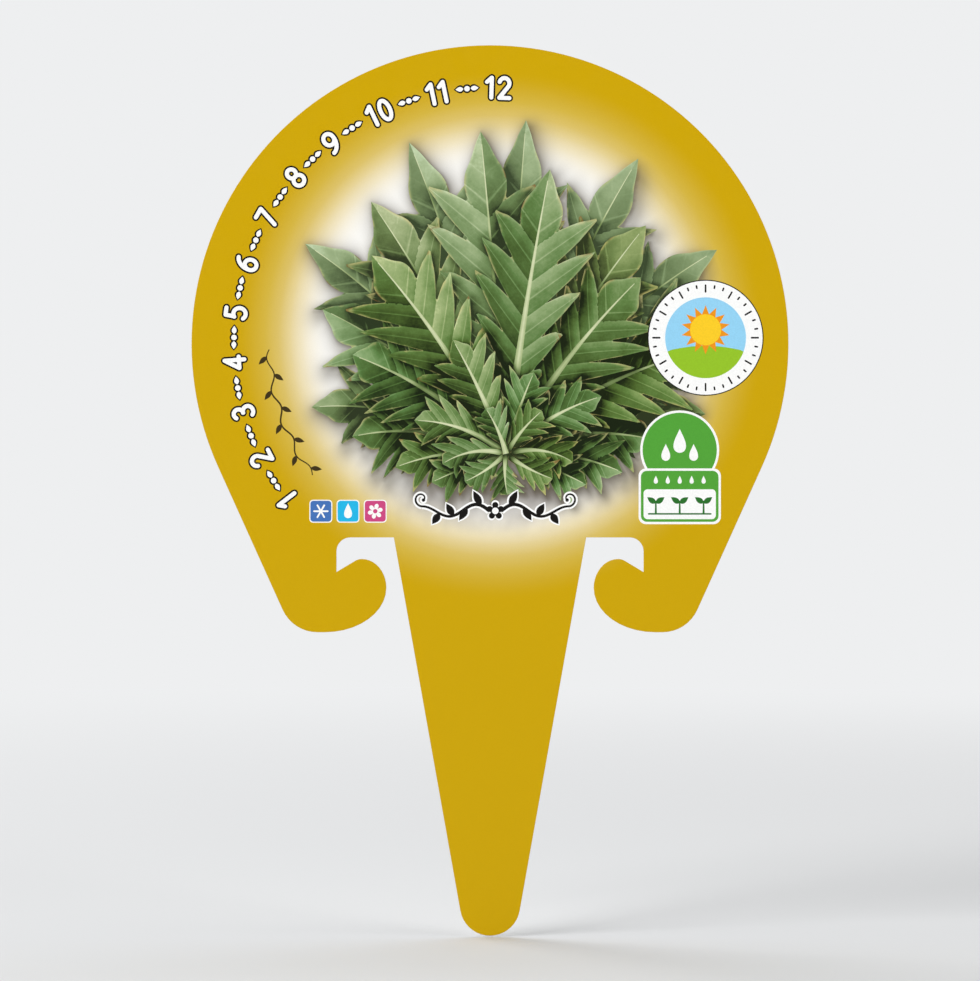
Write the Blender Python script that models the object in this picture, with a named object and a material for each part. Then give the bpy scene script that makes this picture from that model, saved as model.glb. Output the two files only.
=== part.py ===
"""Die-cut plant label for a flower pot: one flat sheet of printed plastic.

A round head carries the print, a tapered stake below it goes into the soil, and a hook on each side
of the stake clips over the pot's rim. The label stands upright: its width runs along X, its thickness
along Y with the printed face towards -Y, and its height along Z. The origin is in the middle of the
sheet's thickness, on the centre line, at the shoulder where the stake leaves the head. The shoulder
line is also the ceiling of both rim notches, so it is where the label sits on the rim.
"""

from math import ceil, cos, hypot, radians, sin, tan

import bmesh
import bpy

MM = 0.001

# Driving dimensions, in millimetres and degrees. Heights are above the shoulder line.
THICKNESS = 0.5
HEAD_RADIUS = 45.0
HEAD_CENTRE_HEIGHT = 29.2
FLANK_ANGLE = 24.3

# The hook below each side of the head.
HOOK_BOTTOM = -14.3
HOOK_CORNER_RADIUS = 5.75
LOBE_CENTRE = (24.9, -7.6)
LOBE_HALF_WIDTH = 9.27
BARB_HALF_WIDTH = 3.68
BARB_TOP = -3.25

# The notch that takes the pot's rim.
NOTCH_CORNER = (23.15, -5.22)
NOTCH_FLOOR_ANGLE = 31.0
NOTCH_FILLET = 2.11

# The stake.
STAKE_HALF_WIDTH = 14.5
STAKE_TAPER = 10.1
STAKE_TIP_RADIUS = 4.54

# Facets: no step along an arc turns by more than this, and none is longer than this. Neighbouring
# points closer than the last value are one point.
STEP_ANGLE = 9.0
STEP_LENGTH = 1.6
LEAST_STEPS = 2
SAME_POINT = 0.0001

# The print's gold ground, as a linear colour, and how matt it is.
PRINT_GOLD = (0.610, 0.376, 0.002)
PRINT_ROUGHNESS = 0.38


def arc(centre, radii, start, end):
    """Points on an ellipse's arc from start to end, in degrees, clockwise when end is less."""
    turn = abs(end - start)
    length = radians(turn) * max(radii)
    steps = max(LEAST_STEPS, ceil(turn / STEP_ANGLE), ceil(length / STEP_LENGTH))
    points = []
    for i in range(steps + 1):
        angle = radians(start + (end - start) * i / steps)
        points.append((centre[0] + radii[0] * cos(angle), centre[1] + radii[1] * sin(angle)))
    return points


def head_side():
    """The head's circle, from its top down to where the straight flank leaves it."""
    return arc((0.0, HEAD_CENTRE_HEIGHT), (HEAD_RADIUS, HEAD_RADIUS), 90.0, -FLANK_ANGLE)


def flank_distance(point):
    """How far a point lies inside the straight flank, which is tangent to the head's circle."""
    normal = (cos(radians(FLANK_ANGLE)), -sin(radians(FLANK_ANGLE)))
    along = point[0] * normal[0] + (point[1] - HEAD_CENTRE_HEIGHT) * normal[1]
    return HEAD_RADIUS - along


def hook_corner():
    """The rounded outer corner where the flank meets the hook's flat bottom."""
    height = HOOK_BOTTOM + HOOK_CORNER_RADIUS
    reach = flank_distance((0.0, height)) - HOOK_CORNER_RADIUS
    centre = (reach / cos(radians(FLANK_ANGLE)), height)
    return arc(centre, (HOOK_CORNER_RADIUS, HOOK_CORNER_RADIUS), -FLANK_ANGLE, -90.0)


def hook_lobe():
    """The hook's round lower lobe, up to its innermost point beside the stake."""
    half_height = LOBE_CENTRE[1] - HOOK_BOTTOM
    return arc(LOBE_CENTRE, (LOBE_HALF_WIDTH, half_height), -90.0, -180.0)


def hook_barb():
    """The hook's upper quarter, and the soft turn from its top into the notch's sloping floor."""
    innermost = LOBE_CENTRE[0] - LOBE_HALF_WIDTH
    centre = (innermost + BARB_HALF_WIDTH, LOBE_CENTRE[1])
    rise = arc(centre, (BARB_HALF_WIDTH, BARB_TOP - LOBE_CENTRE[1]), 180.0, 90.0)
    slope = radians(NOTCH_FLOOR_ANGLE)
    crest = NOTCH_CORNER[0] - (BARB_TOP - NOTCH_CORNER[1]) / tan(slope)
    radius = (crest - centre[0]) / tan(slope / 2)
    turn = arc((centre[0], BARB_TOP - radius), (radius, radius), 90.0, 90.0 - NOTCH_FLOOR_ANGLE)
    return rise + turn[1:]


def notch():
    """The notch's sharp lower corner, its wall, and the fillet into the shoulder line."""
    centre = (NOTCH_CORNER[0] - NOTCH_FILLET, -NOTCH_FILLET)
    return [NOTCH_CORNER] + arc(centre, (NOTCH_FILLET, NOTCH_FILLET), 0.0, 90.0)


def stake_side():
    """The stake's straight side, and its round tip as far as the centre line."""
    taper = radians(STAKE_TAPER)
    height = (STAKE_TIP_RADIUS / cos(taper) - STAKE_HALF_WIDTH) / tan(taper)
    tip = arc((0.0, height), (STAKE_TIP_RADIUS, STAKE_TIP_RADIUS), -STAKE_TAPER, -90.0)
    return [(STAKE_HALF_WIDTH, 0.0)] + tip


def half_outline():
    """The right half of the outline, clockwise from the head's top to the stake's tip."""
    return head_side() + hook_corner() + hook_lobe() + hook_barb() + notch() + stake_side()


def outline():
    """The whole outline, clockwise: the right half, then its mirror image back up to the top."""
    right = half_outline()
    left = [(-x, z) for x, z in reversed(right[1:-1])]
    points = []
    for x, z in right + left:
        if not points or hypot(x - points[-1][0], z - points[-1][1]) > SAME_POINT:
            points.append((x, z))
    return points


def printed_plastic():
    """The sheet's finish: satin plastic in the colour of the print's ground."""
    material = bpy.data.materials.new("printed_plastic")
    material.use_nodes = True
    shader = material.node_tree.nodes["Principled BSDF"]
    shader.inputs["Base Color"].default_value = (*PRINT_GOLD, 1.0)
    shader.inputs["Roughness"].default_value = PRINT_ROUGHNESS
    shader.inputs["Metallic"].default_value = 0.0
    material.diffuse_color = (*PRINT_GOLD, 1.0)
    return material


def label_sheet():
    """The sheet: the outline as one face in the XZ plane, extruded through the thickness."""
    bm = bmesh.new()
    back = THICKNESS / 2 * MM
    corners = [bm.verts.new((x * MM, back, z * MM)) for x, z in outline()]
    face = bm.faces.new(corners)
    swept = bmesh.ops.extrude_face_region(bm, geom=[face])
    front = [item for item in swept["geom"] if isinstance(item, bmesh.types.BMVert)]
    bmesh.ops.translate(bm, verts=front, vec=(0.0, -THICKNESS * MM, 0.0))
    bmesh.ops.recalc_face_normals(bm, faces=bm.faces)
    mesh = bpy.data.meshes.new("label_sheet")
    bm.to_mesh(mesh)
    bm.free()
    mesh.materials.append(printed_plastic())
    sheet = bpy.data.objects.new("label_sheet", mesh)
    bpy.context.collection.objects.link(sheet)
    return sheet


for old in list(bpy.data.objects):
    bpy.data.objects.remove(old, do_unlink=True)
label_sheet()
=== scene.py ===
"""The printed plant label, dressed for its render.

One closed sheet replaces the plain solid. Its front is divided along the edges of everything that
is printed on it, so each ink is a region of the mesh and the print stays sharp at any size.
Places on the sheet are (x, z) in millimetres, measured from the middle of the shoulder line.
"""

from collections import namedtuple
from dataclasses import dataclass
from math import atan2, cos, log, pi, radians, sin, sqrt

import bpy
import numpy as np
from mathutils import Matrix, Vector
from mathutils.geometry import delaunay_2d_cdt
from mathutils.kdtree import KDTree


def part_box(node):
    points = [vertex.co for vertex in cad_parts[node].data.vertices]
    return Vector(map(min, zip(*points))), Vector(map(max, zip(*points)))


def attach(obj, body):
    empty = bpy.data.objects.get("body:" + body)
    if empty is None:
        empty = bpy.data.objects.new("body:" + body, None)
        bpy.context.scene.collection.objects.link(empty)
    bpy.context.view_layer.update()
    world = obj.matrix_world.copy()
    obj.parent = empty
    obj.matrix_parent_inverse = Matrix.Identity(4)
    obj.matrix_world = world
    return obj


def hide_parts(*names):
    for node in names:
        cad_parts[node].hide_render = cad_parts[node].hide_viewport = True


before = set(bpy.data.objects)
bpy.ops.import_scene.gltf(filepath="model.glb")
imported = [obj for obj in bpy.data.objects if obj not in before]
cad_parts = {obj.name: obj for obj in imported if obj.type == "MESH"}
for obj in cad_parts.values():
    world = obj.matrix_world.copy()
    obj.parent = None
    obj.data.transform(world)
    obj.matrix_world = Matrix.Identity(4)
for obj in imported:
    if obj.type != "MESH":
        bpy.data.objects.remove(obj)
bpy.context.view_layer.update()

MM = 0.001
FRAME_PIXELS = (980, 981)
MM_PER_PIXEL = 0.15075

# The sheet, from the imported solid.
LOW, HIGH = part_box("label_sheet")
THICKNESS = (HIGH[1] - LOW[1]) / MM
HALF_WIDTH = HIGH[0] / MM
TIP_HEIGHT = LOW[2] / MM
TOP_HEIGHT = HIGH[2] / MM
HEAD_CENTRE = (0.0, TOP_HEIGHT - HALF_WIDTH)
EDGE_ROUND = 0.07

# Points of the print that are closer than this become one.
MERGE_DISTANCE = 0.004

# The picture: its pale glow, the crown its leaves grow from and the circle they reach.
GLOW_CENTRE = np.array([1.35, 30.4])
GLOW_WHITE_RADIUS = 25.5
GLOW_GOLD_RADIUS = 40.0
CROWN = np.array([2.4, 12.6])
PICTURE_CENTRE = np.array([3.0, 30.4])
PICTURE_RADIUS = 32.6

# A half leaf that points this way from its rib, across and up, is lit.
PICTURE_LIGHT = (0.75, 0.65)

# The shadows in the picture fall to the lower right. They are shorter and sharper below leaves that
# are narrower than SHADOW_FULL_WIDTH, and they fade out towards SHADOW_RADIUS.
SHADOW_SHIFT = np.array([0.9, -1.1])
SHADOW_BLUR = 1.7
SHADOW_POWER = 1.5
SHADOW_FULL_WIDTH = 13.0
SHADOW_RADIUS = 35.0
SHADOW_FADE = 3.0
CONTACT_SHIFT = SHADOW_SHIFT / 5
CONTACT_BLUR = 0.42


def srgb(red, green, blue):
    """A colour given as it looks on the label, 0 to 255, as the linear value that a shader takes."""
    def linear(level):
        level /= 255
        return level / 12.92 if level <= 0.04045 else ((level + 0.055) / 1.055) ** 2.4
    return (linear(red), linear(green), linear(blue), 1.0)


WHITE = srgb(252, 252, 250)
BLACK = srgb(22, 20, 18)
BROWN_BLACK = srgb(62, 50, 24)
GOLD = srgb(205, 165, 0)
LEAF_GREEN = srgb(84, 164, 58)
DEEP_GREEN = srgb(44, 112, 44)
LIME = srgb(150, 196, 42)
SKY = srgb(150, 212, 244)
SUN_YELLOW = srgb(252, 206, 40)
SUN_ORANGE = srgb(240, 150, 30)
CHIP_BLUE = srgb(70, 116, 184)
CHIP_SKY = srgb(38, 184, 232)
CHIP_PINK = srgb(206, 74, 130)


# Flat shapes.

def area(ring):
    """The signed area of a closed ring, which is above 0 where it runs anticlockwise."""
    points = np.asarray(ring)
    after = np.roll(points, -1, axis=0)
    return np.sum(points[:, 0] * after[:, 1] - after[:, 0] * points[:, 1]) / 2


def winding(points, ring):
    """How many times a ring runs round each point, anticlockwise."""
    turns = np.zeros(len(points), int)
    x, z = points[:, 0], points[:, 1]
    for (x0, z0), (x1, z1) in zip(ring, np.roll(ring, -1, axis=0)):
        if z0 == z1:
            continue
        crossed = (z0 <= z) != (z1 <= z)
        left = (x1 - x0) * (z - z0) / (z1 - z0) + x0 > x
        turns[crossed & left] += 1 if z1 > z0 else -1
    return turns


def placed(ring, centre, angle=0.0):
    """A ring turned by an angle in degrees, anticlockwise, and moved to a centre."""
    c, s = cos(radians(angle)), sin(radians(angle))
    return [(centre[0] + x * c - z * s, centre[1] + x * s + z * c) for x, z in ring]


def polar(centre, radius, angle):
    """The place at a distance from a centre, in the direction of an angle in radians."""
    return (centre[0] + radius * cos(angle), centre[1] + radius * sin(angle))


def disc(centre, radius, steps=48):
    return [polar(centre, radius, 2 * pi * i / steps) for i in range(steps)]


def rounded_box(centre, width, height, radius, steps=6):
    ring = []
    for quarter, (sx, sz) in enumerate(((1, 1), (-1, 1), (-1, -1), (1, -1))):
        corner = (centre[0] + sx * (width / 2 - radius), centre[1] + sz * (height / 2 - radius))
        for i in range(steps + 1):
            ring.append(polar(corner, radius, pi / 2 * (quarter + i / steps)))
    return ring


def droplet(radius, steps=28, pinch=1.5, rise=0.35, stretch=1.35):
    """A water drop with its round end at the origin and its point up."""
    ring = []
    for i in range(steps):
        angle = 2 * pi * i / steps
        across = radius * sin(angle) * sin(angle / 2) ** pinch
        ring.append((across, radius * (rise + stretch * cos(angle))))
    return ring


def small_leaf(length, width, steps=10, foot=0.0, grow=0.0, skew=0.8):
    """A plain pointed leaf along +X, broadest a little below its middle and grown by a margin."""
    foot, length, width = foot - grow, length + 2 * grow, width + 2 * grow
    upper = []
    for i in range(1, steps):
        t = i / steps
        upper.append((foot + length * t, width / 2 * sin(pi * t ** skew)))
    lower = [(x, -z) for x, z in upper]
    return [(foot, 0.0)] + lower + [(foot + length, 0.0)] + upper[::-1]


def capsule(start, end, radius, steps=5):
    """A straight pen stroke with round ends."""
    heading = atan2(end[1] - start[1], end[0] - start[0])
    ring = []
    for middle, first in ((end, heading - pi / 2), (start, heading + pi / 2)):
        ring += [polar(middle, radius, first + pi * i / steps) for i in range(steps + 1)]
    return ring


def star(points, outer, inner):
    radii = (outer, inner) * points
    return [polar((0, 0), radius, pi * i / points + pi / 2) for i, radius in enumerate(radii)]


def flower(petals, outer, inner, steps=8, bulge=0.6):
    """An open flower with its first petal towards +X."""
    ring = []
    count = petals * steps
    for i in range(count):
        angle = 2 * pi * i / count
        petal = abs(cos(petals * angle / 2)) ** bulge
        ring.append(polar((0, 0), inner + (outer - inner) * petal, angle))
    return ring


def stroke(path, widths):
    """The ring round a line drawn with a pen whose width changes along it."""
    path = np.asarray(path, float)
    along = np.gradient(path, axis=0)
    along /= np.linalg.norm(along, axis=1)[:, None]
    side = np.stack([-along[:, 1], along[:, 0]], axis=1) * (np.asarray(widths) / 2)[:, None]
    return [tuple(p) for p in np.concatenate([path - side, (path + side)[::-1]])]


# The leaves of the picture.

@dataclass(eq=False)
class Leaf:
    """A deeply lobed leaf on a rib that bends evenly, like an arc of a circle, and is never straight.

    A place on it is (u, v): the share of the rib's length, and the distance to the rib's right in
    millimetres. Side veins leave the rib forwards at VEIN_ANGLE, one to each lobe, and s is the
    share of the rib's length at which one leaves. fold is 1 or -1, for the half that is lit, and
    depth is 0 for a near leaf and 1 for one that is far back.
    """

    lean: float
    length: float
    width: float
    curl: float
    fold: int
    seed: float
    lobes: int = 6
    cut: float = 0.26
    stalk: float = 0.16
    stalk_width: float = 1.5
    depth: float = 0.0

    VEIN_ANGLE = radians(45)
    VEIN_ROUNDS = 5
    STEPS_PER_LOBE = 14
    STALK_STEPS = 8
    RIB_STEPS = 40

    # The longest lobes: how far they spread, and how soon from the foot and from the tip.
    FULLNESS = 2.1
    FOOT_POWER = 0.55
    TIP_POWER = 0.7

    # The side lobes: their spacing, fullness and teeth. UNEVEN_BY stirs them by lobe, side and leaf.
    SPACING = 0.85
    LOBE_POWER = 2.6
    UNEVENNESS = 0.16
    UNEVEN_BY = (7.3, 5.1, 40)
    TEETH_PER_LOBE = 3
    TOOTH = 0.07
    TOOTH_IN_CUT = 0.3

    # The lobe at the tip: its shares of the blade's length and of the leaf's width, how far up it
    # is broadest, and how straight, round and wavy its sides are above that.
    TIP_LENGTH = 0.32
    TIP_WIDTH = 0.33
    TIP_BROADEST = 0.17
    TIP_SIDES = (0.55, 0.45, 0.05)

    # Half the rib's width at its foot and at its end, as shares of the stalk's width, its taper, and
    # how far up the leaf it ends. The edge keeps the stalk's width as far up as STALK_FADE.
    RIB_FOOT = 0.42
    RIB_LEAST = 0.03
    RIB_TAPER = 1.3
    RIB_END = 0.96
    STALK_FADE = 0.5

    def __post_init__(self):
        self.start = radians(self.lean)
        self.turn = radians(self.curl)
        self.radius = self.length / self.turn
        self.centre = CROWN + self.radius * np.array([cos(self.start), -sin(self.start)])

    def place(self, u, v):
        """The (x, z) of places on the leaf."""
        angle, reach = self.start + self.turn * u, self.radius - v
        return np.stack([self.centre[0] - reach * np.cos(angle),
                         self.centre[1] + reach * np.sin(angle)], axis=-1)

    def unplace(self, points):
        """The (u, v) of points (x, z)."""
        away = points - self.centre
        sign = 1.0 if self.radius > 0 else -1.0
        angle = np.arctan2(sign * away[:, 1], -sign * away[:, 0])
        turned = (angle - self.start + pi) % (2 * pi) - pi
        return turned / self.turn, self.radius - sign * np.hypot(away[:, 0], away[:, 1])

    def blade(self, s):
        """How far up the blade a vein leaves the rib, from 0 at the stalk to 1 at the tip."""
        return np.clip((s - self.stalk) / (1 - self.stalk), 0.0, 1.0)

    def stretches(self, s):
        """How far s is up the side lobes' stretch of the blade, and up the tip lobe's, each 0 to 1."""
        blade, split = self.blade(s), 1 - self.TIP_LENGTH
        return np.minimum(blade / split, 1.0), np.clip((blade - split) / self.TIP_LENGTH, 0.0, 1.0)

    def phase(self, s):
        """How many lobes lie below a vein that leaves the rib at s. A lobe is broadest at its half."""
        sides, tip = self.stretches(s)
        return (self.lobes - 1) * sides ** self.SPACING + tip ** (log(0.5) / log(self.TIP_BROADEST))

    def lobe(self, phase):
        """How far out the edge is, from 0 in the cut between two lobes to 1 at a lobe's half."""
        off = np.abs(2 * (phase % 1.0) - 1)
        return 1 - 0.5 * off - 0.5 * off ** self.LOBE_POWER

    def envelope(self, blade):
        """The spread of the longest lobes along the blade, as a share of half the leaf's width."""
        return self.FULLNESS * blade ** self.FOOT_POWER * (1 - blade) ** self.TIP_POWER

    def side_spread(self, s, side):
        """The spread of the side lobes, as a share of half the leaf's width."""
        phase = self.phase(s)
        lobe = self.lobe(phase)
        by_lobe, by_side, by_leaf = self.UNEVEN_BY
        uneven = np.sin(by_lobe * np.floor(phase) + by_side * side + by_leaf * self.seed)
        tooth = self.TOOTH * (1 - np.abs(2 * ((self.TEETH_PER_LOBE * phase) % 1.0) - 1))
        length = self.cut + (1 - self.cut) * lobe * (1 + self.UNEVENNESS * uneven)
        length = length + tooth * (self.TOOTH_IN_CUT + (1 - self.TOOTH_IN_CUT) * lobe)
        return self.envelope(self.blade(s)) * length

    def tip_spread(self, s):
        """The spread of the tip's lobe, which widens quickly and then narrows to a point."""
        _, tip = self.stretches(s)
        foot = self.cut * self.envelope(1 - self.TIP_LENGTH)
        widening = foot + (self.TIP_WIDTH - foot) * self.lobe(self.phase(s))
        left = np.clip((1 - tip) / (1 - self.TIP_BROADEST), 0.0, 1.0)
        straight, rounded, wavy = self.TIP_SIDES
        wave = wavy * left * np.sin(3 * pi * left)
        narrowing = self.TIP_WIDTH * (straight * left + rounded * np.sin(left * pi / 2) + wave)
        return np.where(tip < self.TIP_BROADEST, widening, narrowing)

    def vein_length(self, s, side):
        """The length of the blade along the vein that leaves the rib at s, on one side."""
        _, tip = self.stretches(s)
        spread = np.where(tip > 0, self.tip_spread(s), self.side_spread(s, side)) * self.width / 2
        fade = np.sqrt(np.clip((1 - s) / (1 - self.STALK_FADE), 0.0, 1.0))
        return (spread + self.stalk_width / 2 * fade * (1 - tip)) / sin(self.VEIN_ANGLE)

    def gain(self, s):
        """The share of the rib's length that a vein leaving at s gains forwards per millimetre."""
        return cos(self.VEIN_ANGLE) / self.length * np.clip(s / self.stalk, 0.0, 1.0)

    def edge(self, side):
        """The blade's edge on one side, from the foot of the stalk to the tip."""
        s = np.linspace(0.0, 1.0, self.lobes * self.STEPS_PER_LOBE + self.STALK_STEPS)
        vein = self.vein_length(s, side)
        return self.place(s + vein * self.gain(s), side * vein * sin(self.VEIN_ANGLE))

    def vein_of(self, u, v):
        """Where the vein through a place leaves the rib, and how far along the vein the place is."""
        vein = np.abs(v) / sin(self.VEIN_ANGLE)
        s = u
        for _ in range(self.VEIN_ROUNDS):
            s = u - vein * self.gain(s)
        return s, vein

    def half(self, side):
        """The ring round half of the blade: 1 is right of the rib, and -1 is left."""
        rib_line = self.place(np.linspace(0.0, 1.0, self.RIB_STEPS), 0.0)
        return np.concatenate([rib_line, self.edge(side)[::-1]])

    def whole(self):
        return np.concatenate([self.edge(1), self.edge(-1)[::-1]])

    def rib(self):
        """The ring round the rib itself, which is broad in the stalk and fades out before the tip."""
        u = np.linspace(0.0, self.RIB_END, self.RIB_STEPS)
        taper = self.RIB_FOOT * (1 - u / self.RIB_END) ** self.RIB_TAPER
        v = self.stalk_width * (taper + self.RIB_LEAST)
        return np.concatenate([self.place(u, v), self.place(u, -v)[::-1]])


# How far the leaves of each large row lean from upright, in degrees. The first two of the middle
# and the near row hang lowest, so they are narrower and less deeply cut.
FAR_LEANS = (-38, 40, -15, 21, 3)
MIDDLE_LEANS = (-68, 70, -46, 52, -25, 28, -4)
NEAR_LEANS = (-76, 77, -52, 56, -31, 34, 8)
LOW_LEAVES = 2
DEEP_CUT = 0.26
SHALLOW_CUT = 0.36

# The small leaves in front: the lean, the length in millimetres and the curl of each.
FRONT_LEAVES = (
    (-82, 17, -30), (84, 18, 30), (-20, 19, -10), (44, 17, 30), (-50, 15, -40), (14, 13, 10),
    (-106, 12, -10), (104, 13, 14), (-74, 10, -50), (72, 10.5, 50), (-134, 7.5, 20), (128, 8, -20),
    (-172, 6.2, -20), (30, 8.5, 20), (-14, 7.5, -20),
)


def reach(lean, radius=PICTURE_RADIUS):
    """How far it is from the crown to the edge of the picture's circle, at a lean from upright."""
    way = np.array([sin(radians(lean)), cos(radians(lean))])
    offset = CROWN - PICTURE_CENTRE
    along = offset @ way
    return -along + sqrt(along ** 2 - offset @ offset + radius ** 2)


def picture_leaves():
    """The tuft, from the leaves furthest back to the nearest."""
    leaves = []
    for i, lean in enumerate(FAR_LEANS):
        leaves.append(Leaf(
            0.8 * lean, reach(lean), width=15.5, curl=0.7 * lean, fold=(-1) ** i, seed=0.13 * i,
            lobes=7, depth=1.0))
    for i, lean in enumerate(MIDDLE_LEANS):
        low = i < LOW_LEAVES
        length = reach(lean) * (0.90 if low else 0.97 - 0.06 * (i % 3))
        leaves.append(Leaf(
            0.85 * lean, length, width=13.0 if low else 17.0, curl=0.55 * lean,
            fold=(-1) ** (i // 2), seed=0.31 + 0.17 * i, cut=SHALLOW_CUT if low else DEEP_CUT,
            depth=0.45))
    for i, lean in enumerate(NEAR_LEANS):
        low = i < LOW_LEAVES
        length = reach(lean, PICTURE_RADIUS - 5.5) * (0.97 - 0.07 * (i % 3))
        leaves.append(Leaf(
            0.85 * lean, length, width=12.0 if low else 16.0, curl=0.5 * lean, fold=(-1) ** i,
            seed=0.57 + 0.11 * i, cut=SHALLOW_CUT if low else DEEP_CUT, stalk_width=1.9))
    for i, (lean, length, curl) in enumerate(FRONT_LEAVES):
        leaves.append(Leaf(
            lean, length, width=3.0 + 0.3 * length, curl=curl, fold=(-1) ** i, seed=0.23 + 0.19 * i,
            lobes=5 if length > 12 else 4, cut=0.34, stalk=0.2, stalk_width=0.6 + length / 20))
    return leaves


# What is printed, in the order in which it is laid down.

GROUND, LEAF, INK, BARE = range(4)
Shape = namedtuple("Shape", "rings kind colour leaf side")


class Print:
    """The printed shapes, each of one or more rings, in the order in which they are laid down."""

    def __init__(self):
        self.shapes = []

    def add(self, rings, kind, colour=WHITE, leaf=None, side=0):
        rings = [np.asarray(ring, float) for ring in rings]
        rings = [ring if area(ring) > 0 else ring[::-1] for ring in rings]
        self.shapes.append(Shape(rings, kind, colour, leaf, side))

    def ink(self, ring, colour):
        self.add([ring], INK, colour)

    def constraints(self):
        """All rings as one list of points, and the edges between them."""
        points, edges = [], []
        for ring in (ring for shape in self.shapes for ring in shape.rings):
            first, count = len(points), len(ring)
            points += [tuple(point) for point in ring]
            edges += [(first + i, first + (i + 1) % count) for i in range(count)]
        return points, edges

    def topmost(self, points):
        """For each point the number of the last shape that covers it, or -1 off the sheet."""
        top = np.full(len(points), -1)
        for number, shape in enumerate(self.shapes):
            corners = np.concatenate(shape.rings)
            near = (points > corners.min(axis=0)) & (points < corners.max(axis=0))
            near = np.flatnonzero(near.all(axis=1))
            turns = sum(winding(points[near], ring) for ring in shape.rings)
            top[near[turns != 0]] = number
        top[winding(points, self.shapes[0].rings[0]) == 0] = -1
        return top


def bow(x, z, half_width, half_height, start, end, steps=20):
    """A pen's way along an ellipse, in degrees."""
    angles = np.radians(np.linspace(start, end, steps))
    return np.stack([x + half_width * np.cos(angles), z + half_height * np.sin(angles)], axis=1)


# Each figure is 1 high. These are its width and the ways of the pen that draws it.
FIGURES = {
    "0": (0.60, bow(0.30, 0.5, 0.24, 0.5, 90, 450, 36)),
    "1": (0.42, [(0.02, 0.78), (0.26, 1.0), (0.26, 0.0)]),
    "2": (0.58, np.concatenate([bow(0.28, 0.73, 0.25, 0.27, 165, -30), [(0.04, 0.0), (0.55, 0.0)]])),
    "3": (0.54, bow(0.24, 0.755, 0.235, 0.245, 140, -90), bow(0.24, 0.26, 0.28, 0.26, 90, -140)),
    "4": (0.60, [(0.44, 0.0), (0.44, 1.0), (0.02, 0.28), (0.60, 0.28)]),
    "5": (0.56, [(0.48, 1.0), (0.11, 1.0), (0.08, 0.56)], bow(0.24, 0.31, 0.29, 0.31, 128, -140)),
    "6": (0.58, bow(0.29, 0.30, 0.26, 0.30, 0, 360, 36), bow(0.56, 0.32, 0.53, 0.68, 180, 98, 16)),
    "7": (0.54, [(0.02, 1.0), (0.52, 1.0), (0.18, 0.0)]),
    "8": (0.56, bow(0.28, 0.76, 0.22, 0.24, 0, 360, 32), bow(0.28, 0.27, 0.27, 0.27, 0, 360, 36)),
    "9": (0.58, bow(0.27, 0.70, 0.26, 0.30, 0, 360, 36), bow(0.00, 0.68, 0.53, 0.68, 0, -82, 16)),
}
FIGURE_GAP = 0.20


def number_width(number, height):
    widths = [FIGURES[figure][0] for figure in str(number)]
    return height * (sum(widths) + FIGURE_GAP * (len(widths) - 1))


def number_rings(number, height, pen):
    """The rings that write a number with a round pen, about its own middle."""
    rings = []
    across = -number_width(number, height) / 2
    for figure in str(number):
        width, *ways = FIGURES[figure]
        for way in ways:
            way = np.asarray(way) * height + (across, -height / 2)
            rings += [capsule(start, end, pen / 2) for start, end in zip(way, way[1:])]
        across += (width + FIGURE_GAP) * height
    return rings


def print_month_arc(sheet):
    """The numbers of the twelve months round the head's upper left, with a sprig between them."""
    radius, first, last = 38.6, 219.0, 85.0
    height, pen, outline = 3.0, 0.62, 0.26
    months = range(1, 13)
    widths = [number_width(month, height) + pen for month in months]
    between = (radians(first - last) * radius - sum(widths)) / (len(widths) - 1)
    travelled = 0.0
    for month, width in zip(months, widths):
        angle = first - np.degrees((travelled + width / 2) / radius)
        middle = polar(HEAD_CENTRE, radius, radians(angle))
        for grown, colour in ((pen + 2 * outline, BLACK), (pen, WHITE)):
            rings = number_rings(month, height, grown)
            sheet.add([placed(ring, middle, angle - 90) for ring in rings], INK, colour)
        travelled += width + between
        if month < months[-1]:
            print_sprig(sheet, first - np.degrees((travelled - between / 2) / radius), radius, outline)


def print_sprig(sheet, angle, radius, outline):
    """A bead between two small leaves, set along the arc."""
    leaf_length, leaf_width, leaf_foot, bead_radius = 1.2, 0.72, 0.55, 0.42
    middle = polar(HEAD_CENTRE, radius, radians(angle))
    for grow, colour in ((outline, BLACK), (0.0, WHITE)):
        blade = small_leaf(leaf_length, leaf_width, foot=leaf_foot, grow=grow)
        for turn in (0, 180):
            sheet.ink(placed(blade, middle, angle - 90 + turn), colour)
        sheet.ink(disc(middle, bead_radius + grow, 20), colour)


def print_vine(sheet):
    """A fine dark vine inside the arc of months."""
    radius, first, last = 33.3, 181.5, 216.5
    steps, wave, waves = 60, 0.45, 4
    pen, swell = 0.16, 0.10
    leaf_count, leaf_size, leaf_turn = 8, (1.7, 0.75), 48
    share = np.linspace(0.0, 1.0, steps)
    reaches = radius + wave * np.sin(share * 2 * pi * waves)
    path = bow(*HEAD_CENTRE, reaches, reaches, first, last, steps)
    sheet.ink(stroke(path, pen + swell * np.sin(share * pi)), BROWN_BLACK)
    for k in range(leaf_count):
        at = int((k + 0.5) / leaf_count * steps)
        side = 1 if k % 2 else -1
        lean = first + (last - first) * share[at] + 90 + side * leaf_turn
        sheet.ink(placed(small_leaf(*leaf_size, 8), path[at], lean), BROWN_BLACK)


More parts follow.
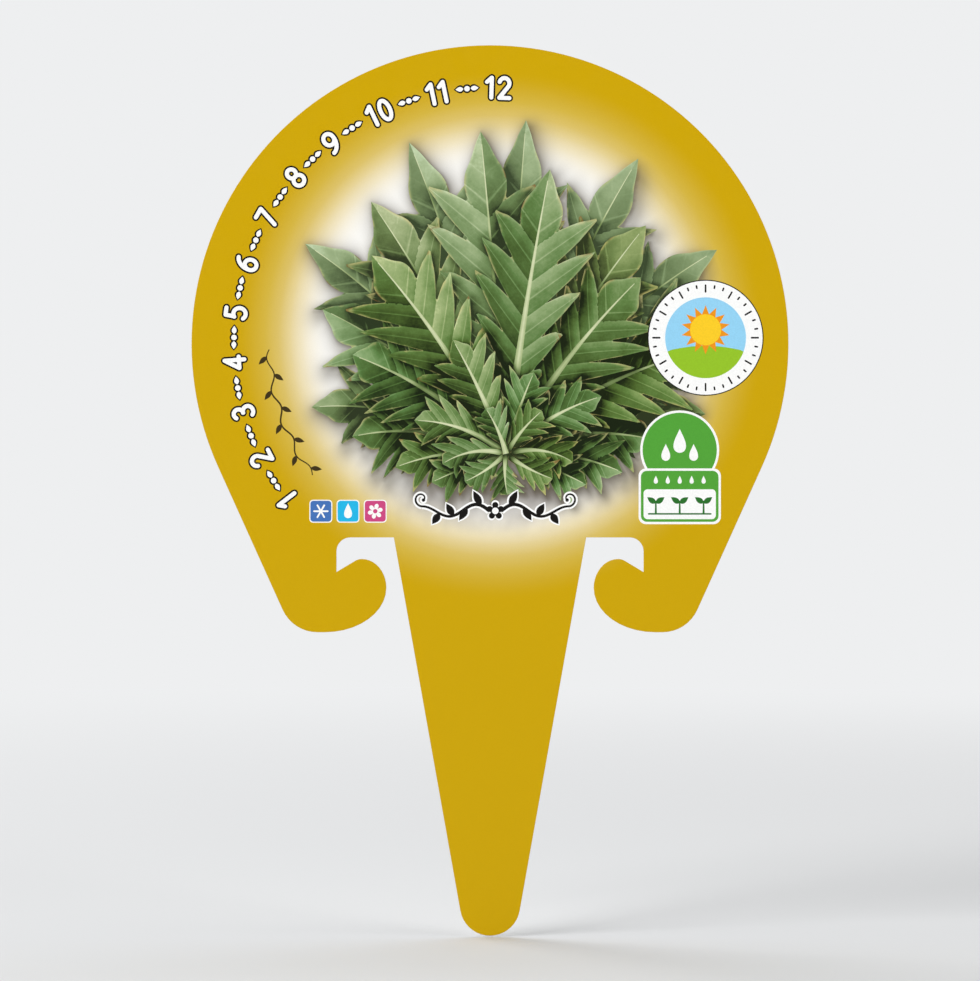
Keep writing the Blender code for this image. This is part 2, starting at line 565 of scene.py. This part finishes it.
def print_sun_badge(sheet):
    """A round badge for a sunny place: a ticked white rim, and a sun over green ground."""
    centre, radius, line, inner = (32.5, 30.1), 8.75, 0.16, 6.1
    ticks, tick_lengths, tick_width, tick_inset = 36, (1.25, 0.6, 0.6), 0.26, 0.7
    hill_drop, hill_rise, hill_bend = 2.1, 0.9, 0.94
    sun, sun_radius, ray_foot, ray_tip = (centre[0], centre[1] + 1.2), 2.35, 2.4, 3.7

    sheet.ink(disc(centre, radius, 72), BLACK)
    sheet.ink(disc(centre, radius - line, 72), WHITE)
    for k in range(ticks):
        length = tick_lengths[k % len(tick_lengths)]
        tick = rounded_box((radius - tick_inset - length / 2, 0.0), length, tick_width, 0.12, 3)
        sheet.ink(placed(tick, centre, 360 / ticks * k), BLACK)
    sheet.ink(disc(centre, inner, 64), SKY)
    hill = [polar(centre, inner, radians(angle)) for angle in np.linspace(200, 340, 40)]
    for x in np.linspace(hill[-1][0], hill[0][0], 24)[1:-1]:
        bend = cos((x - centre[0]) / inner * pi / 2 * hill_bend)
        hill.append((x, centre[1] - hill_drop + hill_rise * bend))
    sheet.ink(hill, LIME)
    sheet.ink(placed(star(14, ray_tip, ray_foot), sun), SUN_ORANGE)
    sheet.ink(disc(sun, sun_radius, 40), SUN_YELLOW)


def print_care_badge(sheet):
    """A tall badge for water and planting: drops in a green disc above a white panel."""
    x, edge, head, head_radius, middle = 28.6, 0.35, 13.2, 5.6, 6.2
    rain, rain_spacing, rain_height = 0.45, 1.8, 2.35
    row_spacing, soil, stem_foot, leaf_foot = 3.6, -2.65, -2.55, 1.5

    for grow, colour in ((edge, WHITE), (0.0, LEAF_GREEN)):
        sheet.ink(disc((x, head), head_radius + grow, 56), colour)
    panels = (
        (12.4, 8.4, 0.0, 1.1, WHITE), (11.7, 7.7, 0.0, 0.9, LEAF_GREEN), (10.9, 4.5, 1.2, 0.6, WHITE))
    for width, height, drop, corner, colour in panels:
        sheet.ink(rounded_box((x, middle - drop), width, height, corner), colour)
    for across, up, size in ((-2.1, -0.7, 0.95), (2.1, -0.7, 0.95), (0.0, 0.9, 1.35)):
        sheet.ink(placed(droplet(size), (x + across, head + up)), WHITE)
    for k in range(-2, 3):
        sheet.ink(placed(droplet(rain), (x + rain_spacing * k, middle + rain_height)), WHITE)
    for k in range(-1, 2):
        foot = (x + row_spacing * k, middle + stem_foot)
        stem = [(foot[0], foot[1] + rise) for rise in (0.0, 1.0, 1.9)]
        sheet.ink(stroke(stem, (0.3, 0.26, 0.2)), DEEP_GREEN)
        for turn in (35, 145):
            blade = placed(small_leaf(1.6, 0.85, 8), (foot[0], foot[1] + leaf_foot), turn)
            sheet.ink(blade, DEEP_GREEN)
    sheet.ink(rounded_box((x, middle + soil), 9.6, 0.24, 0.1, 2), DEEP_GREEN)


def print_care_chips(sheet):
    """Three small square signs: frost, water and flowering."""
    left, middle, spacing, size, edge = -25.5, 3.95, 4.1, 3.15, 0.3
    needle = rounded_box((0, 0), 2.3, 0.26, 0.1, 2)
    signs = (
        (CHIP_BLUE, [placed(needle, (0, 0), turn) for turn in (0, 60, 120)]),
        (CHIP_SKY, [placed(droplet(0.85), (0, -0.2))]),
        (CHIP_PINK, [placed(flower(6, 1.15, 0.45), (0, 0), 15)]),
    )
    for k, (colour, sign) in enumerate(signs):
        centre = (left + spacing * k, middle)
        sheet.ink(rounded_box(centre, size + edge, size + edge, 0.55, 4), WHITE)
        sheet.ink(rounded_box(centre, size, size, 0.45, 4), colour)
        for ring in sign:
            sheet.ink(placed(ring, centre), WHITE)
    heart = disc(centre, 0.34, 16)
    sheet.ink(heart, CHIP_PINK)


def flourish_parts(grow):
    """The scroll's pen strokes and leaves, each grown by a margin."""
    start, length, wave, waves = 0.9, 10.2, 1.05, 1.25
    pen, pen_loss, curl_pen, curl_pen_loss, knob = 0.56, 0.24, 0.32, 0.02, 0.26
    leaf_length, leaf_shrink, leaf_width = 2.5, 0.18, 1.1
    share = np.linspace(0.0, 1.0, 50)
    curl = np.linspace(0.0, 1.7 * pi, 30)
    tight = 1.15 * (1 - curl / (2.4 * pi))

    parts = [placed(flower(5, 1.35 + grow, 0.65 + grow), (0.0, 0.0), 90)]
    for side in (1, -1):
        x = side * (start + length * share)
        z = wave * np.sin(share * 2 * pi * waves) * (1 - 0.35 * share)
        parts.append(stroke(np.stack([x, z], axis=1), pen - pen_loss * share + 2 * grow))
        spiral = (x[-1] + side * tight * np.sin(curl), z[-1] + tight[0] - tight * np.cos(curl))
        parts.append(stroke(np.stack(spiral, axis=1), curl_pen - curl_pen_loss * curl + 2 * grow))
        parts.append(disc((spiral[0][-1], spiral[1][-1]), knob + grow, 16))
        for k, (at, turn) in enumerate(((0.13, 62), (0.33, -58), (0.52, 60), (0.72, -55))):
            i = int(at * len(share))
            blade = small_leaf(leaf_length - leaf_shrink * k, leaf_width, grow=grow)
            parts.append(placed(blade, (x[i], z[i]), turn if side > 0 else 180 - turn))
    return parts


def print_flourish(sheet):
    """A symmetrical black scroll with a white edge, below the picture."""
    middle, edge = (0.8, 4.0), 0.28
    for grow, colour in ((edge, WHITE), (0.0, BLACK)):
        sheet.add([placed(part, middle) for part in flourish_parts(grow)], INK, colour)
    sheet.ink(disc(middle, 0.5, 20), WHITE)


def whole_print(outline):
    """Everything that is printed, on a ground that fills the outline."""
    sheet = Print()
    sheet.add([outline], GROUND)
    for leaf in picture_leaves():
        for side in (-1, 1):
            sheet.add([leaf.half(side)], LEAF, leaf=leaf, side=side)
        sheet.add([leaf.rib()], LEAF, leaf=leaf, side=0)
    print_month_arc(sheet)
    print_vine(sheet)
    print_sun_badge(sheet)
    print_care_badge(sheet)
    print_care_chips(sheet)
    print_flourish(sheet)
    return sheet


# The sheet's mesh.

def added(name, data):
    """A new object in the scene."""
    made = bpy.data.objects.new(name, data)
    bpy.context.scene.collection.objects.link(made)
    return made


def front_outline():
    """The solid's outline as it lies on the front face, anticlockwise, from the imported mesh."""
    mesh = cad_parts["label_sheet"].data
    spot = [(round(v.co.x / MM, 4), round(v.co.z / MM, 4)) for v in mesh.vertices]
    edges = set()
    for face in mesh.polygons:
        if face.normal.y < -0.9:
            corners = [spot[v] for v in face.vertices]
            edges.update(zip(corners, corners[1:] + corners[:1]))
    following = {here: there for here, there in edges if (there, here) not in edges}
    ring = [min(following)]
    while following[ring[-1]] != ring[0]:
        ring.append(following[ring[-1]])
    return ring if area(ring) > 0 else ring[::-1]


def inward_normals(ring):
    """For each corner of an anticlockwise ring, the step inwards that moves both its sides by 1."""
    points = np.asarray(ring)
    along = np.roll(points, -1, axis=0) - points
    along /= np.linalg.norm(along, axis=1)[:, None]
    normal = np.stack([-along[:, 1], along[:, 0]], axis=1)
    before = np.roll(normal, 1, axis=0)
    return (before + normal) / (1 + np.sum(before * normal, axis=1))[:, None]


def lattice(taken, outline, spacing=0.46, clearance=0.2):
    """Evenly spread points over the picture, clear of the points that are taken."""
    tree = KDTree(len(taken))
    for i, (x, z) in enumerate(taken):
        tree.insert((x, z, 0.0), i)
    tree.balance()
    rise = spacing * sin(pi / 3)
    spread = np.array([((column + row % 2 / 2) * spacing, row * rise)
                       for row in range(int(2 * SHADOW_RADIUS / rise))
                       for column in range(int(2 * SHADOW_RADIUS / spacing))])
    spread = spread[np.linalg.norm(spread - SHADOW_RADIUS, axis=1) < SHADOW_RADIUS]
    spread += GLOW_CENTRE - SHADOW_RADIUS
    spread = spread[winding(spread, outline) != 0]
    return [(x, z) for x, z in spread if tree.find((x, z, 0.0))[2] > clearance]


def divided_front(ring, sheet):
    """The front inside a ring, divided along every printed edge.

    Gives its points, its triangles, the number of the shape that shows on each, and which of the
    points are the ring's.
    """
    points, edges = sheet.constraints()
    places = [Vector(p) for p in points + lattice(points, ring)]
    flat, _, faces, sources, _, _ = delaunay_2d_cdt(places, edges, [], 0, MERGE_DISTANCE)
    flat = np.array([tuple(p) for p in flat])
    came_from = {source: i for i, ids in enumerate(sources) for source in ids}
    rim = [came_from[i] for i in range(len(ring))]
    top = sheet.topmost(flat[np.array(faces)].mean(axis=1))
    faces = [tuple(face) for face, owner in zip(faces, top) if owner >= 0]
    return flat, faces, top[top >= 0], rim


def edge_levels():
    """The rings round the sheet's edge from front to back.

    Each has its inset, its place along Y, and what covers the strip before it.
    """
    half, bevel = THICKNESS / 2, EDGE_ROUND * (1 - sin(radians(45)))
    return (
        (bevel, bevel - half, GROUND), (0.0, EDGE_ROUND - half, GROUND),
        (0.0, half - EDGE_ROUND, BARE), (bevel, half - bevel, BARE), (EDGE_ROUND, half, BARE),
    )


def build_sheet():
    """The closed sheet: the divided front, the rings round its edge, and the back as one face."""
    outline = np.asarray(front_outline())
    inward = inward_normals(outline)
    ring = outline + inward * EDGE_ROUND
    sheet = whole_print(ring)
    flat, faces, top, rim = divided_front(ring, sheet)

    verts = [(x, -THICKNESS / 2, z) for x, z in flat]
    polygons = list(faces)
    slots = [sheet.shapes[number].kind for number in top]
    last = rim
    for inset, y, cover in edge_levels():
        here = range(len(verts), len(verts) + len(rim))
        verts += [(x, y, z) for x, z in outline + inward * inset]
        for i in range(len(rim)):
            j = (i + 1) % len(rim)
            polygons.append((last[i], here[i], here[j], last[j]))
            slots.append(cover)
        last = here
    polygons.append(tuple(last[::-1]))
    slots.append(BARE)

    mesh = bpy.data.meshes.new("label")
    mesh.from_pydata([(x * MM, y * MM, z * MM) for x, y, z in verts], [], polygons)
    mesh.polygons.foreach_set("material_index", slots)
    smooth = np.zeros(len(polygons), bool)
    smooth[len(faces):-1] = True
    mesh.polygons.foreach_set("use_smooth", smooth)
    paint(mesh, sheet, flat, faces, top)
    bake_map(mesh, outline, inward, flat)
    mesh.update()
    return added("printed_sheet", mesh)


# What the materials read at each corner of the front's triangles.

def distance_to_ring(points, ring, limit=5.0):
    """How far points lie from a ring: 0 inside it, and no more than a limit."""
    away = np.full(len(points), limit)
    near = (points > ring.min(axis=0) - limit) & (points < ring.max(axis=0) + limit)
    near = np.flatnonzero(near.all(axis=1))
    place = points[near][:, None, :]
    along = np.roll(ring, -1, axis=0) - ring
    share = np.sum((place - ring) * along, axis=2) / np.maximum(np.sum(along * along, axis=1), 1e-9)
    gap = place - ring - np.clip(share, 0.0, 1.0)[:, :, None] * along
    closest = np.sqrt(np.min(np.sum(gap * gap, axis=2), axis=1))
    closest[winding(points[near], ring) != 0] = 0.0
    away[near] = np.minimum(closest, limit)
    return away


def leaf_shadows(points, leaf):
    """How dark a leaf's soft shadow and its narrow contact shadow are at each point."""
    out = np.linalg.norm(points - GLOW_CENTRE, axis=1)
    fade = np.clip((SHADOW_RADIUS - out) / SHADOW_FADE, 0.0, 1.0)
    ring = leaf.whole()[::2]
    lift = min(1.0, leaf.width / SHADOW_FULL_WIDTH)
    soft = distance_to_ring(points - SHADOW_SHIFT * lift, ring) / (SHADOW_BLUR * lift)
    contact = distance_to_ring(points - CONTACT_SHIFT, ring) / CONTACT_BLUR
    return fade * np.exp(-soft ** SHADOW_POWER), fade * np.exp(-contact)


def corner_shadows(sheet, flat, corners, owner):
    """The two shadows that the leaves above throw on each corner, and 1 where it is on a rib."""
    leaves = list(dict.fromkeys(shape.leaf for shape in sheet.shapes if shape.leaf))
    plain_rank = {GROUND: -1, INK: len(leaves)}
    rank = np.array([leaves.index(shape.leaf) if shape.leaf else plain_rank[shape.kind]
                     for shape in sheet.shapes])
    values = np.zeros((len(corners), 3))
    for k, leaf in enumerate(leaves):
        below = rank[owner] < k
        for channel, dark in enumerate(leaf_shadows(flat, leaf)):
            values[below, channel] = np.maximum(values[below, channel], dark[corners[below]])
    is_rib = np.array([shape.kind == LEAF and shape.side == 0 for shape in sheet.shapes])
    values[:, 2] = is_rib[owner]
    return values


def corner_leaf(sheet, flat, corners, owner, least_vein=0.05):
    """Each corner's place on its leaf, and its leaf's tone.

    The place is the share of the rib's length, the phase of the lobes, or on a rib the distance
    from its middle, and the share of the vein's length. The tone is light, depth and seed.
    """
    place = np.zeros((len(corners), 3))
    tone = np.zeros((len(corners), 3))
    for region in np.unique(owner):
        _, kind, _, leaf, side = sheet.shapes[region]
        if kind != LEAF:
            continue
        here = owner == region
        u, v = leaf.unplace(flat[corners[here]])
        s, vein = leaf.vein_of(u, v)
        share = np.clip(vein / np.maximum(leaf.vein_length(s, side), least_vein), 0, 1)
        place[here] = np.stack([u, v if side == 0 else leaf.phase(s), share], axis=1)
        angle = leaf.start + leaf.turn * u
        light = np.cos(angle) * PICTURE_LIGHT[0] - np.sin(angle) * PICTURE_LIGHT[1]
        tone[here, 0] = side * leaf.fold * light
        tone[here, 1:] = (leaf.depth, leaf.seed)
    return place, tone


def write_corners(mesh, name, values, kind="FLOAT_VECTOR", field="vector", rest=0.0):
    """Stores values at the mesh's first corners, which are the front's, and one value at the rest."""
    padded = np.full((len(mesh.loops), values.shape[1]), rest)
    padded[:len(values)] = values
    mesh.attributes.new(name, kind, "CORNER").data.foreach_set(field, padded.ravel())


def paint(mesh, sheet, flat, faces, top):
    """Writes the inks' colours, the places on the leaves and the shadows on the mesh."""
    corners = np.array(faces).ravel()
    owner = np.repeat(top, 3)
    place, tone = corner_leaf(sheet, flat, corners, owner)
    colours = np.array([shape.colour for shape in sheet.shapes])
    write_corners(mesh, "ink", colours[owner], "FLOAT_COLOR", "color", rest=1.0)
    write_corners(mesh, "leaf_place", place)
    write_corners(mesh, "leaf_tone", tone)
    write_corners(mesh, "shadow", corner_shadows(sheet, flat, corners, owner))


def bake_map(mesh, outline, inward, flat):
    """A flat layout of the sheet: the front with its edge opened out round it, and a smaller back."""
    margin, back_scale, back_corner = 1.2, 0.46, (0.995, 0.01)
    half_bend, bend = 0.05, 0.11
    far_bend = bend + THICKNESS - 2 * EDGE_ROUND
    opened = (half_bend, bend, far_bend, far_bend + bend - half_bend, far_bend + bend)
    rings = [outline + inward * (EDGE_ROUND - distance) for distance in opened]
    places = np.concatenate([flat, *rings])
    foot = np.array([-HALF_WIDTH, TIP_HEIGHT])
    span = TOP_HEIGHT - TIP_HEIGHT + 2 * margin

    vertex = np.zeros(len(mesh.loops), int)
    mesh.loops.foreach_get("vertex_index", vertex)
    coords = (places[vertex] - foot + margin) / span
    back = (outline + inward * EDGE_ROUND)[vertex[-len(outline):] - len(places) + len(outline)]
    coords[-len(outline):] = back_corner + (back - foot) / span * back_scale * (-1, 1)
    mesh.uv_layers.new(name="OFBake").data.foreach_set("uv", coords.ravel())


# Materials.

def feed(tree, made, inputs):
    """Gives a node its inputs, each a plain value or the output of another node."""
    for key, value in inputs.items():
        if isinstance(value, bpy.types.NodeSocket):
            tree.links.new(value, made.inputs[key])
        else:
            made.inputs[key].default_value = value


def node(tree, kind, inputs, **settings):
    made = tree.nodes.new("ShaderNode" + kind)
    for name, value in settings.items():
        setattr(made, name, value)
    feed(tree, made, inputs)
    return made


def maths(tree, operation, *values, clamp=False):
    inputs = {i: value for i, value in enumerate(values)}
    return node(tree, "Math", inputs, operation=operation, use_clamp=clamp).outputs[0]


def weighted_sum(tree, total, *terms, clamp=False):
    """A value with others added to it, each given with its weight."""
    for k, (value, weight) in enumerate(terms, 1):
        total = maths(tree, "MULTIPLY_ADD", value, weight, total, clamp=clamp and k == len(terms))
    return total


def product(tree, first, *others):
    for other in others:
        first = maths(tree, "MULTIPLY", first, other)
    return first


def centred(tree, value):
    return maths(tree, "SUBTRACT", value, 0.5)


def remap(tree, value, low, high, to_low=0.0, to_high=1.0):
    """A smooth step from one value to another. It falls where low is above high."""
    inputs = {"Value": value, "From Min": low, "From Max": high, "To Min": to_low, "To Max": to_high}
    return node(tree, "MapRange", inputs, interpolation_type="SMOOTHSTEP").outputs[0]


def blend(tree, share, first, second, how="MIX"):
    inputs = {"Factor": share, 6: first, 7: second}
    return node(tree, "Mix", inputs, data_type="RGBA", blend_type=how).outputs[2]


def colour_ramp(tree, value, stops):
    made = node(tree, "ValToRGB", {"Fac": value})
    elements = made.color_ramp.elements
    while len(elements) < len(stops):
        elements.new(1.0)
    for element, (at, colour) in zip(elements, stops):
        element.position = at
        element.color = colour
    return made.outputs["Color"]


def noise(tree, where, scale, detail=3.0, roughness=0.5):
    """Noise whose scale counts blotches per millimetre."""
    inputs = {"Vector": where, "Scale": scale, "Detail": detail, "Roughness": roughness}
    return node(tree, "TexNoise", inputs).outputs["Fac"]


def attribute(tree, name):
    return node(tree, "Attribute", {}, attribute_name=name).outputs


def split(tree, vector):
    """A vector's three parts."""
    return node(tree, "SeparateXYZ", {0: vector}).outputs


def vector_maths(tree, operation, inputs, output="Vector"):
    return node(tree, "VectorMath", inputs, operation=operation).outputs[output]


def object_place(tree):
    return node(tree, "TexCoord", {}).outputs["Object"]


def distance_from(tree, where, centre, reaches=(1.0, 1.0)):
    """The distance on the sheet from a centre, counted in reaches across and up."""
    (x, z), (across, up) = centre, reaches
    inputs = {0: where, 1: (1 / across, 0.0, 1 / up), 2: (-x / across, 0.0, -z / up)}
    return vector_maths(tree, "LENGTH", {0: vector_maths(tree, "MULTIPLY_ADD", inputs)}, "Value")


def picture_glow(tree, where):
    """1 where the picture's ground is pale, falling to 0 where it is gold."""
    return remap(tree, distance_from(tree, where, GLOW_CENTRE), GLOW_GOLD_RADIUS, GLOW_WHITE_RADIUS)


def mottled(tree, where, colour, scale, detail, darkest, lightest):
    """A printed colour with the slight mottle of a press."""
    grain = remap(tree, noise(tree, where, scale, detail), 0.3, 0.7, darkest, lightest)
    return blend(tree, 1.0, colour, grain, "MULTIPLY")


GLOW_COLOURS = (
    (0.0, GOLD), (0.25, srgb(212, 180, 66)), (0.45, srgb(219, 192, 104)),
    (0.62, srgb(229, 209, 148)), (0.8, srgb(241, 229, 196)), (1.0, srgb(253, 251, 246)),
)
POOL_SHIFT = (1.0, -4.5)
POOL_REACHES = (26.0, 8.0)
POOL_BROWN = srgb(92, 80, 72)
SHADOW_BROWN = srgb(88, 80, 62)


def ground_colour(tree, where):
    """The gold ground, the pale glow behind the picture and the soft shadows on it."""
    glow = picture_glow(tree, where)
    colour = colour_ramp(tree, glow, GLOW_COLOURS)

    # The shadow that the plant throws on the ground it stands on, with a wavering edge.
    spread = distance_from(tree, where, CROWN + POOL_SHIFT, POOL_REACHES)
    sway = centred(tree, noise(tree, where, scale=0.12))
    spread = weighted_sum(tree, spread, (sway, 1.1))
    pool = product(tree, remap(tree, spread, 1.05, 0.0), 0.85, remap(tree, glow, 0.15, 0.9))
    colour = blend(tree, pool, colour, POOL_BROWN)

    soft, contact, _ = split(tree, attribute(tree, "shadow")["Vector"])
    drop = weighted_sum(tree, 0.0, (soft, 0.5), (contact, 0.35), clamp=True)
    colour = blend(tree, drop, colour, SHADOW_BROWN)
    return mottled(tree, where, colour, scale=9.0, detail=2.0, darkest=0.985, lightest=1.015)


NEAR_GREENS = (
    (0.0, srgb(24, 34, 12)), (0.12, srgb(52, 70, 30)), (0.28, srgb(76, 101, 48)),
    (0.46, srgb(96, 128, 70)), (0.66, srgb(134, 159, 106)), (0.84, srgb(162, 181, 133)),
    (1.0, srgb(206, 216, 172)),
)
FAR_GREENS = (
    (0.0, srgb(62, 72, 46)), (0.3, srgb(112, 126, 86)), (0.55, srgb(138, 151, 110)),
    (0.8, srgb(170, 180, 140)), (1.0, srgb(204, 210, 176)),
)
RIB_GREENS = (
    (0.0, srgb(44, 54, 26)), (0.4, srgb(116, 136, 82)), (0.75, srgb(178, 192, 140)),
    (1.0, srgb(226, 230, 190)),
)
LEAF_CASTS = ((0.0, srgb(242, 255, 248)), (0.5, WHITE), (1.0, srgb(255, 253, 222)))
DRY_STRAW = srgb(196, 186, 128)
BURNT_BROWN = srgb(122, 84, 44)


def leaf_colour(tree, where):
    """The picture's leaves: ribs, side veins, puckered blades, pale edges and worn tips."""
    along, phase, edge = split(tree, attribute(tree, "leaf_place")["Vector"])
    light, depth, seed = split(tree, attribute(tree, "leaf_tone")["Vector"])
    soft, contact, rib = split(tree, attribute(tree, "shadow")["Vector"])
    shade = weighted_sum(tree, 0.0, (soft, 0.85), (contact, 0.75))

    # Each leaf reads the noises in a place of its own.
    apart = node(tree, "CombineXYZ", {1: product(tree, seed, 40.0)}).outputs[0]
    place = vector_maths(tree, "ADD", {0: where, 1: apart})
    blotch = centred(tree, noise(tree, place, scale=0.28, detail=5.0, roughness=0.6))
    speckle = centred(tree, noise(tree, place, scale=2.6, roughness=0.6))

    # Veins run where the phase is half way through a lobe, with finer ones between them.
    hump = centred(tree, maths(tree, "FRACT", phase))
    off_vein = maths(tree, "ABSOLUTE", hump)
    vein = remap(tree, off_vein, weighted_sum(tree, 0.05, (edge, -0.03)), 0.0)
    trough = remap(tree, off_vein, 0.30, 0.05)
    sway = noise(tree, place, scale=0.5)
    finer = weighted_sum(tree, 0.0, (phase, 5.0), (sway, 0.5))
    net = remap(tree, maths(tree, "PINGPONG", finer, 0.5), 0.07, 0.0)

    # How light the blade is, from all that lightens and darkens it.
    height = remap(tree, split(tree, where)["Z"], 8.0, 60.0, -1.0, 1.0)
    level = weighted_sum(
        tree, 0.48, (light, 0.21), (height, 0.07), (remap(tree, along, 0.42, 0.0), -0.22),
        (hump, 0.34), (trough, -0.06), (vein, 0.24), (net, 0.05),
        (remap(tree, edge, 0.80, 1.0), 0.16), (blotch, 0.55), (speckle, 0.16), (shade, -0.42),
        clamp=True)
    near = colour_ramp(tree, level, NEAR_GREENS)
    far = colour_ramp(tree, level, FAR_GREENS)
    colour = blend(tree, depth, near, far)

    # Dry stretches of the edge, a cast of each leaf to blue or to yellow, and a few brown points.
    dry_stretch = remap(tree, noise(tree, place, scale=0.6), 0.42, 0.62)
    dry = product(tree, remap(tree, edge, 0.86, 1.02), dry_stretch, 0.7)
    colour = blend(tree, dry, colour, DRY_STRAW)
    cast = maths(tree, "FRACT", product(tree, seed, 7.7))
    colour = blend(tree, 1.0, colour, colour_ramp(tree, cast, LEAF_CASTS), "MULTIPLY")
    burnt_stretch = remap(tree, noise(tree, place, scale=0.33), 0.54, 0.60)
    near_vein = remap(tree, off_vein, 0.22, 0.08)
    burnt = product(tree, remap(tree, edge, 0.93, 1.0), burnt_stretch, near_vein, 0.75)
    colour = blend(tree, burnt, colour, BURNT_BROWN)

    # The rib: pale, round, and darker at its two sides. There the phase is the distance from its
    # middle in millimetres.
    off_middle = maths(tree, "ABSOLUTE", phase)
    level = weighted_sum(tree, 0.92, (off_middle, -0.5), (shade, -0.55), (blotch, 0.3), clamp=True)
    return blend(tree, rib, colour, colour_ramp(tree, level, RIB_GREENS))


def ink_colour(tree, where):
    """The flat inks, whose colour each region carries."""
    ink = attribute(tree, "ink")["Color"]
    return mottled(tree, where, ink, scale=6.0, detail=3.0, darkest=0.96, lightest=1.03)


BARE_WHITES = ((0.3, srgb(236, 236, 232)), (0.7, srgb(241, 241, 238)))


def bare_colour(tree, where):
    """The unprinted plastic of the back and the cut edge, with the print faintly seen through it."""
    colour = colour_ramp(tree, noise(tree, where, scale=0.08, detail=4.0), BARE_WHITES)
    through = weighted_sum(tree, 0.11, (picture_glow(tree, where), -0.09))
    return blend(tree, through, colour, GOLD)


def new_material(name, specular):
    material = bpy.data.materials.new(name)
    material.use_nodes = True
    shader = material.node_tree.nodes["Principled BSDF"]
    feed(material.node_tree, shader, {"Specular IOR Level": specular})
    return material, material.node_tree, shader


def sheet_material(name, colour_of, specular=0.12, roughness=0.36, peel=0.012):
    """The sheet's satin, with a fine calendered grain and a slightly uneven gloss.

    Its colour is a function of the place on the sheet, in millimetres.
    """
    material, tree, shader = new_material(name, specular)
    where = vector_maths(tree, "SCALE", {0: object_place(tree), "Scale": 1 / MM})
    fine, broad = (noise(tree, where, scale, detail=2.0) for scale in (3.2, 0.11))
    grain = weighted_sum(tree, fine, (broad, 4.0))
    bump = node(tree, "Bump", {"Strength": 0.35, "Distance": peel * MM, "Height": grain})
    cloud = noise(tree, where, scale=0.35, detail=4.0)
    uneven = remap(tree, cloud, 0.3, 0.7, roughness - 0.04, roughness + 0.05)
    feed(tree, shader, {
        "Base Color": colour_of(tree, where), "Normal": bump.outputs["Normal"],
        "Roughness": uneven})
    return material


label = build_sheet()
for material in (
        sheet_material("gold_ground_print", ground_colour),
        sheet_material("leaf_print", leaf_colour),
        sheet_material("flat_ink_print", ink_colour),
        sheet_material("bare_plastic", bare_colour, specular=0.4, roughness=0.5, peel=0.02)):
    label.data.materials.append(material)
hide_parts("label_sheet")
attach(label, "root")


# The stage: a pale floor, soft lights and the camera square to the printed face.

WORLD_PALE = srgb(238, 239, 240)
FLOOR_PALE = srgb(226, 227, 228)
FLOOR_RADIUS = 6.0
FLOOR_GAP = 0.0002
LENS = 135.0
LIGHT_TARGET = Vector((0.0, 0.0, 0.01))

# Each light's name, place, size and power in watts.
LIGHTS = (
    ("key", (-1.35, -1.10, 0.90), (1.2, 1.2), 25.9),
    ("fill", (1.50, -0.95, 0.30), (1.2, 1.2), 16.4),
    ("top", (0.0, 0.25, 1.1), (1.2, 0.9), 6.0),
    ("back", (-0.9, 0.8, 0.5), (0.7, 0.7), 6.2),
)


def stage_floor():
    """A wide matt floor that passes into the plain background away from the label."""
    ring = [(x, y, LOW[2] - FLOOR_GAP) for x, y in disc((0, 0), FLOOR_RADIUS, 96)]
    mesh = bpy.data.meshes.new("floor")
    mesh.from_pydata(ring, [], [tuple(range(len(ring)))])
    material, tree, shader = new_material("floor_pale", 0.1)
    feed(tree, shader, {"Base Color": FLOOR_PALE, "Roughness": 0.8})
    far = remap(tree, vector_maths(tree, "LENGTH", {0: object_place(tree)}, "Value"), 0.12, 0.7)
    glow = node(tree, "Emission", {"Color": WORLD_PALE, "Strength": 1.0})
    mixed = node(tree, "MixShader", {0: far, 1: shader.outputs[0], 2: glow.outputs[0]})
    feed(tree, tree.nodes["Material Output"], {"Surface": mixed.outputs[0]})
    mesh.materials.append(material)
    floor = added("floor", mesh)


def stage_world():
    """A pale background that lights the label only a little."""
    shown, lighting = 1.0, 0.2
    world = bpy.data.worlds.new("studio")
    world.use_nodes = True
    tree = world.node_tree
    seen = node(tree, "LightPath", {}).outputs["Is Camera Ray"]
    strength = weighted_sum(tree, lighting, (seen, shown - lighting))
    feed(tree, tree.nodes["Background"], {"Color": WORLD_PALE, "Strength": strength})
    bpy.context.scene.world = world


def stage_light(name, place, size, watts):
    light = bpy.data.lights.new(name, "AREA")
    light.shape = "RECTANGLE"
    light.size, light.size_y = size
    light.energy = watts
    lamp = added(name, light)
    lamp.location = place
    lamp.rotation_euler = (LIGHT_TARGET - lamp.location).to_track_quat("-Z", "Y").to_euler()


def stage_camera():
    """The camera, square to the printed face, as far off as the label's size in the frame asks."""
    camera = bpy.data.cameras.new("camera")
    camera.lens = LENS
    camera.clip_start = 0.01
    camera.clip_end = 20.0
    frame_height = max(FRAME_PIXELS) * MM_PER_PIXEL * MM
    distance = frame_height * LENS / camera.sensor_width
    eye = added("camera", camera)
    eye.location = (0.0, LOW[1] - distance, (LOW[2] + HIGH[2]) / 2)
    eye.rotation_euler = (radians(90), 0.0, 0.0)
    bpy.context.scene.camera = eye


stage_floor()
stage_world()
for light in LIGHTS:
    stage_light(*light)
stage_camera()
bpy.context.scene.view_settings.view_transform = "Standard"
